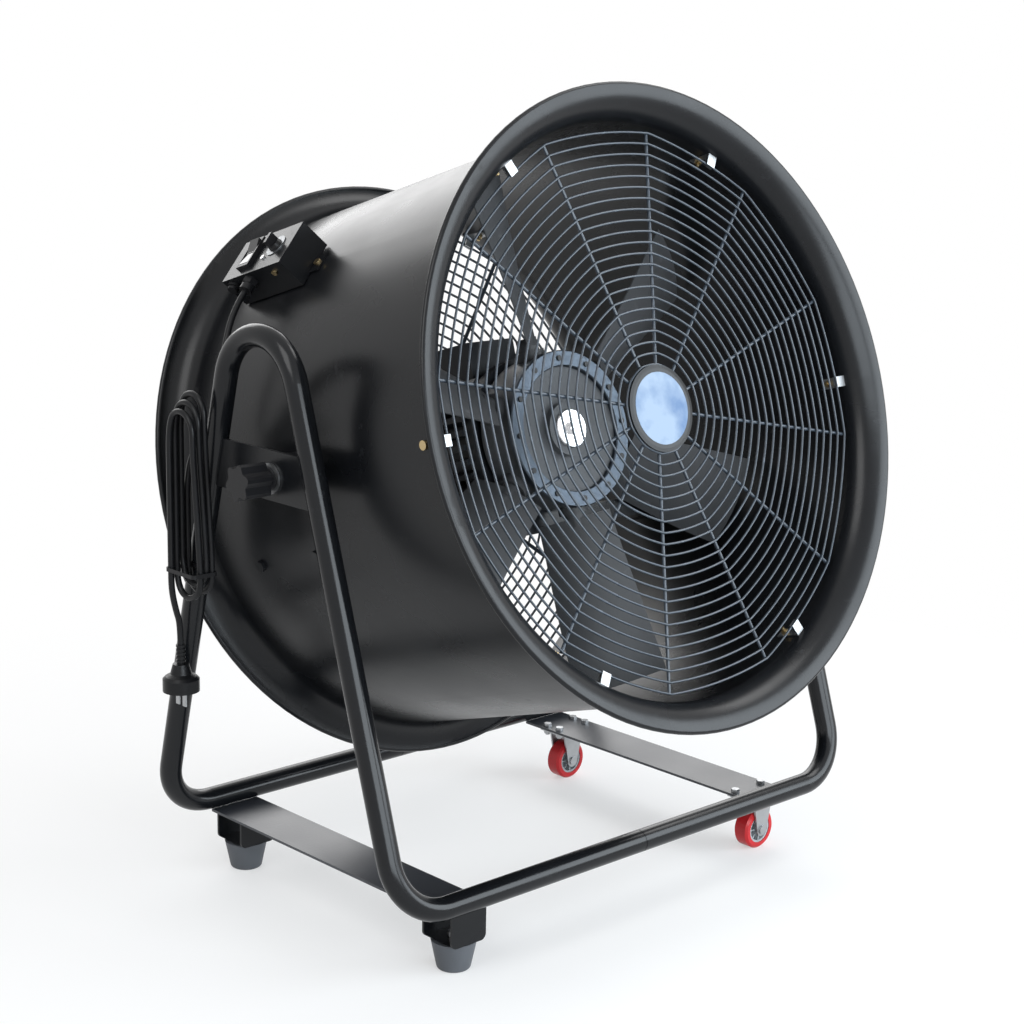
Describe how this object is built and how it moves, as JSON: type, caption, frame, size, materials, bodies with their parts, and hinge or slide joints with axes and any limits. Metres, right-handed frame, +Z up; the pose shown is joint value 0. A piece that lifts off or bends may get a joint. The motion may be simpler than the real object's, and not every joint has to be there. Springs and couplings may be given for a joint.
{
  "type": "ventilation fan",
  "caption": "Drum ventilation fan with wire guards and a bladed impeller, tilting on a bent-tube stand with rubber feet on one side and casters on the other.",
  "frame": {"origin": "centre of the bounding box on the floor", "axes": "+Z up, the outlet mouth faces -Y and upward, the pivot axis lies along X, rubber feet at -X and casters at +X"},
  "size_m": [0.793, 0.6642, 0.9228],
  "materials": {
    "black_powder_coat": "satin",
    "satin_strap": "satin",
    "guard_wire": "satin",
    "blue_badge": "gloss",
    "zinc": "satin",
    "brass_heads": "bright",
    "motor_paint": "satin",
    "core_steel": "dull",
    "hub_alloy": "satin",
    "bright_cap": "bright",
    "blade_plastic": "satin",
    "black_plastic": "satin",
    "dial_metal": "brushed",
    "black_rubber": "satin",
    "red_tread": "satin",
    "wheel_centre": "gloss",
    "dark_hub": "satin",
    "stand_gloss": "gloss",
    "gloss_black": "gloss"
  },
  "bodies": {
    "stand": {"hoop_left": "stand_gloss", "hoop_right": "stand_gloss", "tube_sleeves": "zinc", "pivot_plates": "stand_gloss", "floor_straps": "satin_strap", "foot_brackets": "black_powder_coat", "foot_pads": "black_rubber", "foot_bolts": "zinc", "caster_forks": "zinc", "caster_axles": "zinc", "caster_bolts": "zinc", "cord_lead": "black_rubber", "cord_hank": "black_rubber", "cord_tail": "black_rubber", "hank_tie": "black_plastic", "plug_body": "black_rubber", "plug_pins": "zinc"},
    "drum": {"drum_shell": "black_powder_coat", "front_guard": "guard_wire", "guard_disc": "guard_wire", "guard_badge": "blue_badge", "rear_guard": "guard_wire", "guard_clips": "zinc", "clip_screws": "brass_heads", "motor_frame": "motor_paint", "motor_bolts": "zinc", "motor_shields": "motor_paint", "motor_bearings": "zinc", "stator_core": "core_steel", "terminal_box": "motor_paint", "motor_shelf": "black_powder_coat", "shelf_bolts": "black_powder_coat", "control_base": "black_powder_coat", "control_screws": "brass_heads", "control_box": "black_powder_coat", "switch_bezel": "black_plastic", "dial_plate": "dial_metal", "pilot_lamp": "bright_cap", "cable_gland": "black_plastic", "button_collar": "black_plastic", "pivot_pads": "black_powder_coat", "pivot_studs": "zinc", "pivot_washers": "zinc"},
    "impeller": {"motor_shaft": "zinc", "rotor_core": "core_steel", "impeller_hub": "dark_hub", "hub_ring": "hub_alloy", "hub_plate": "dark_hub", "hub_screws": "black_powder_coat", "hub_cap": "bright_cap", "blades": "blade_plastic"},
    "knob_left": {"clamp_knob_left": "black_plastic"},
    "knob_right": {"clamp_knob_right": "black_plastic"},
    "speed_dial": {"speed_knob": "black_plastic"},
    "power_switch": {"rocker": "gloss_black"},
    "reset": {"reset_button": "black_plastic"},
    "wheel_front": {"caster_tyre_front": "red_tread", "caster_hub_front": "wheel_centre"},
    "wheel_rear": {"caster_tyre_rear": "red_tread", "caster_hub_rear": "wheel_centre"}
  },
  "joints": [
    {"name": "drum_tilt", "type": "hinge", "parent": "stand", "child": "drum", "pos_m": [0, 0.01879, 0.51277], "axis": [1, 0, 0], "range_deg": [-8, 47], "deforming": ["cord_lead"]},
    {"name": "impeller_spin", "type": "hinge", "parent": "drum", "child": "impeller", "pos_m": [0, 0.01879, 0.51277], "axis": [0, -0.9563, 0.2924], "continuous": true},
    {"name": "clamp_left_turn", "type": "hinge", "parent": "drum", "child": "knob_left", "pos_m": [-0.376, 0.01879, 0.51277], "axis": [-1, 0, 0], "continuous": true},
    {"name": "clamp_right_turn", "type": "hinge", "parent": "drum", "child": "knob_right", "pos_m": [0.376, 0.01879, 0.51277], "axis": [1, 0, 0], "continuous": true},
    {"name": "speed_turn", "type": "hinge", "parent": "drum", "child": "speed_dial", "pos_m": [-0.24735, 0.14842, 0.73841], "axis": [-0.7022, 0.2082, 0.6809], "range_deg": [-270, 0]},
    {"name": "switch_rock", "type": "hinge", "parent": "drum", "child": "power_switch", "pos_m": [-0.25003, 0.19088, 0.72678], "axis": [0, 0.9563, -0.2924], "range_deg": [0, 10]},
    {"name": "reset_press", "type": "slide", "parent": "drum", "child": "reset", "axis": [0.712, 0.2053, 0.6715], "range_m": [0, 0.002], "stiffness_N_per_m": 400, "springref_m": -0.001},
    {"name": "wheel_front_roll", "type": "hinge", "parent": "stand", "child": "wheel_front", "pos_m": [0.255, -0.14621, 0.025], "axis": [0, 1, 0], "continuous": true},
    {"name": "wheel_rear_roll", "type": "hinge", "parent": "stand", "child": "wheel_rear", "pos_m": [0.255, 0.18379, 0.025], "axis": [0, 1, 0], "continuous": true}
  ]
}
